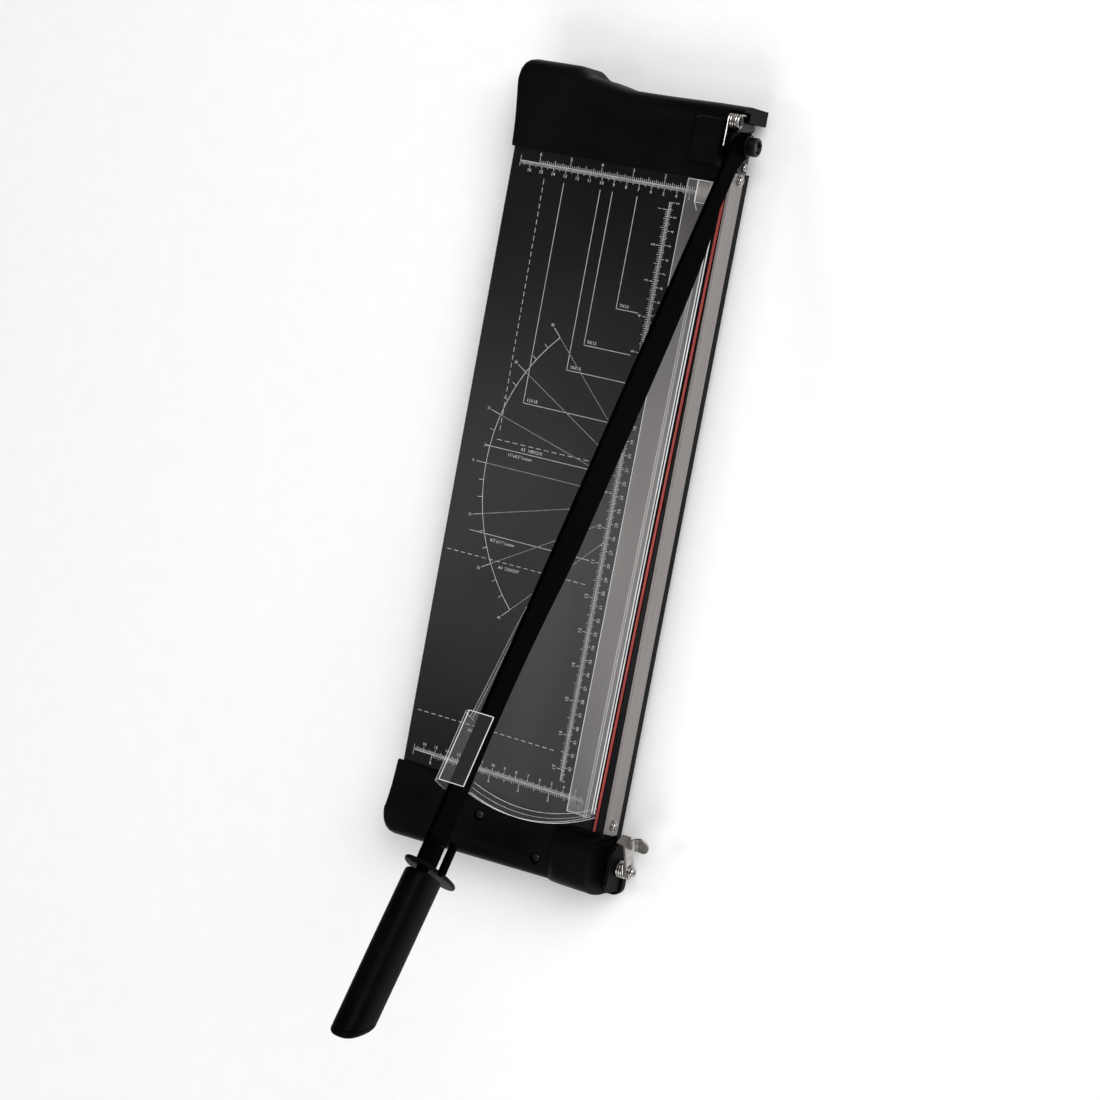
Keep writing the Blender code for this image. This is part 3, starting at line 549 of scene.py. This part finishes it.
def letter(bm, words, place, size, angle=0.0, centred=True):
    """Generic figures and format marks as thin raised letters."""
    curve = bpy.data.curves.new("letters", "FONT")
    curve.body = words
    curve.size = size
    curve.extrude = (INK_HIGH - INK_LOW) / 2
    curve.resolution_u = 2
    curve.align_x = "CENTER" if centred else "LEFT"
    curve.align_y = "CENTER"
    obj = bpy.data.objects.new("letters", curve)
    bpy.context.scene.collection.objects.link(obj)
    bpy.context.view_layer.update()
    mesh = bpy.data.meshes.new_from_object(obj.evaluated_get(bpy.context.evaluated_depsgraph_get()))
    centre = Vector((*place, (INK_HIGH + INK_LOW) / 2))
    mesh.transform(Matrix.Translation(centre) @ Matrix.Rotation(radians(angle), 4, "Z"))
    bm.from_mesh(mesh)
    bpy.data.objects.remove(obj)
    bpy.data.curves.remove(curve)
    bpy.data.meshes.remove(mesh)


def cm_ticks(bm, spine, along, first, last, direction):
    """Millimetre ticks off a spine; along is "x" or "y", direction +1 or -1 is the side they stand on."""
    for k in range(first, last + 1):
        size = 3.9 if k % 10 == 0 else 3.1 if k % 5 == 0 else 2.1
        stroke(bm, spine, along, -float(k), size * direction)


def inch_ticks(bm, spine, along, origin, count, direction):
    for k in range(count * 16 + 1):
        size = 4.6 if k % 16 == 0 else 3.6 if k % 8 == 0 else 2.8 if k % 4 == 0 else 2.0
        stroke(bm, spine, along, origin - k * INCH / 16, size * direction)


def stroke(bm, spine, along, at, size):
    if along == "x":
        line(bm, (at, spine), (at, spine + size), TICK)
    else:
        line(bm, (spine, at), (spine + size, at), TICK)


def cross_rulers(bm, letters):
    """Rulers beside both fences: inches on the outer side, centimetres on the inner side."""
    for spine, outer in ((-9.3, 1), (-450.0, -1)):
        line(bm, (-168.4, spine), (-22.0, spine), 0.62)
        line(bm, (-168.4, spine - 4.0), (-168.4, spine + 4.0), 0.3)
        cm_ticks(bm, spine, "x", 24, 167, -outer)
        inch_ticks(bm, spine, "x", -INCH, 5, outer)
        for number in range(3, 17):
            letter(letters, str(number), (-10.0 * number, spine - outer * 5.9), 3.4)
        for number in range(1, 7):
            letter(letters, str(number), (-INCH * number, spine + outer * 6.4), 3.7)


def long_ruler(bm, letters):
    spine = -43.9
    line(bm, (spine, -20.0), (spine, -440.0), 0.5)
    cm_ticks(bm, spine, "y", 20, 440, 1)
    inch_ticks(bm, spine, "y", -INCH, 16, -1)
    for number in range(2, 44):
        letter(letters, str(number), (spine + 6.2, -10.0 * number), 3.4, 90)
    for number in range(1, 18):
        letter(letters, str(number), (spine - 6.8, -INCH * number), 3.8, 90)


def formats(bm, letters):
    """Photo and paper formats: solid corners, dashed edge lines and their marks."""
    corners = ((70.0, 100.0, "7X10"), (90.0, 130.0, "9X13"), (100.0, 150.0, "10X15"), (130.0, 180.0, "13X18"))
    for width, height, mark in corners:
        line(bm, (-width, -20.0), (-width, -height - 0.2))
        line(bm, (-width - 0.2, -height), (-52.0 if width < 120 else -60.0, -height))
        letter(letters, mark, (-width + 2.2, -height + 2.6), 3.4, 0, False)
    dashed(bm, (-146.5, -20.0), (-145.0, -206.0), 3.6, 2.2)
    dashed(bm, (-146.0, -210.0), (-60.0, -210.0), 4.2, 2.4)
    dashed(bm, (-171.0, -297.0), (-50.0, -297.0), 3.6, 2.4)
    dashed(bm, (-171.0, -420.0), (-50.0, -420.0), 3.6, 2.4)
    for y in (-215.9, -279.4):
        line(bm, (-155.0, y), (-54.0, y))
    line(bm, (-155.0, -214.4), (-155.0, -217.6), 0.3)
    marks = (
        ("A5  148X210", (-125.0, -213.2)),
        ("11\"x8.5\"-Letter", (-135.0, -219.2)),
        ("8.5\"x11\"-Letter", (-136.5, -283.0)),
        ("A4  210X297", (-126.0, -301.0)),
        ("A3  297X420", (-126.0, -424.0)),
    )
    for mark, place in marks:
        letter(letters, mark, place, 3.3, 0, False)


def protractor(bm, letters):
    centre, radius = Vector((-9.5, -228.8)), 142.0
    turns = [radians(-45 + 1.5 * k) for k in range(61)]
    spots = [centre + radius * Vector((-cos(a), sin(a))) for a in turns]
    for one, two in zip(spots, spots[1:]):
        line(bm, one, two, 0.45)
    for degrees in range(-45, 50, 5):
        out = Vector((-cos(radians(degrees)), sin(radians(degrees))))
        if degrees % 15:
            line(bm, centre + out * (radius + 0.2), centre + out * (radius + 4.0), 0.35)
            continue
        dashed(bm, centre + out * (radius - 1.0), centre + out * 48.0, 0.9, 0.9)
        line(bm, centre + out * radius, centre + out * (radius + 8.5), 0.4)
        letter(letters, str(abs(degrees)), centre + out * (radius + 11.0), 2.9)


def table_print():
    strokes, letters = bmesh.new(), bmesh.new()
    cross_rulers(strokes, letters)
    long_ruler(strokes, letters)
    formats(strokes, letters)
    protractor(strokes, letters)
    piece("scale_lines", strokes, "base", PRINT)
    piece("scale_figures", letters, "base", PRINT)


# ---------------------------------------------------------------- studio


def camera():
    data = bpy.data.cameras.new("camera")
    data.lens = 81.49
    data.sensor_width = 36.0
    data.clip_end = 20.0
    obj = bpy.data.objects.new("camera", data)
    bpy.context.scene.collection.objects.link(obj)
    forward = Vector((-0.46189, -0.13374, -0.87680)).normalized()
    right = forward.cross(Vector((-0.22390, 0.97413, -0.03064))).normalized()
    up = right.cross(forward)
    place = ORIGIN + Vector((741.93, -39.27, 1572.55)) * MM
    obj.matrix_world = Matrix.Translation(place) @ Matrix((right, up, -forward)).transposed().to_4x4()
    bpy.context.scene.camera = obj


def area_light(name, place, target, size, power):
    data = bpy.data.lights.new(name, "AREA")
    data.size = size
    data.energy = power
    obj = bpy.data.objects.new(name, data)
    bpy.context.scene.collection.objects.link(obj)
    obj.location = place
    obj.rotation_euler = (Vector(target) - Vector(place)).to_track_quat("-Z", "Y").to_euler()


def studio():
    scene = bpy.context.scene
    scene.view_settings.view_transform = "Standard"
    scene.world = bpy.data.worlds.new("studio")
    scene.world.use_nodes = True
    back = scene.world.node_tree.nodes["Background"]
    back.inputs["Color"].default_value = (1.0, 1.0, 1.0, 1.0)
    back.inputs["Strength"].default_value = 0.3
    area_light("key", (1.7, 1.5, 2.3), (0.0, 0.0, 0.0), 2.2, 84.0)
    area_light("table_glow", (-1.12, -0.28, 1.95), (0.0, 0.0, 0.05), 0.55, 4.2)
    area_light("front_fill", (0.3, -2.4, 2.2), (0.0, 0.0, 0.1), 2.0, 36.0)


def floor():
    bm = bmesh.new()
    bmesh.ops.create_grid(bm, x_segments=1, y_segments=1, size=6.0)
    mesh = bpy.data.meshes.new("floor")
    bm.to_mesh(mesh)
    bm.free()
    obj = bpy.data.objects.new("floor", mesh)
    bpy.context.scene.collection.objects.link(obj)
    mesh.materials.append(
        surface("pale_floor", (0.95, 0.95, 0.95), (0.97, 0.97, 0.97), (0.85, 0.95), spec=0.1, bump=0.01)
    )


camera()
studio()
floor()
carried_over()
fasteners()
springs()
handle()
hand_guard()
guard_edges()
table_print()
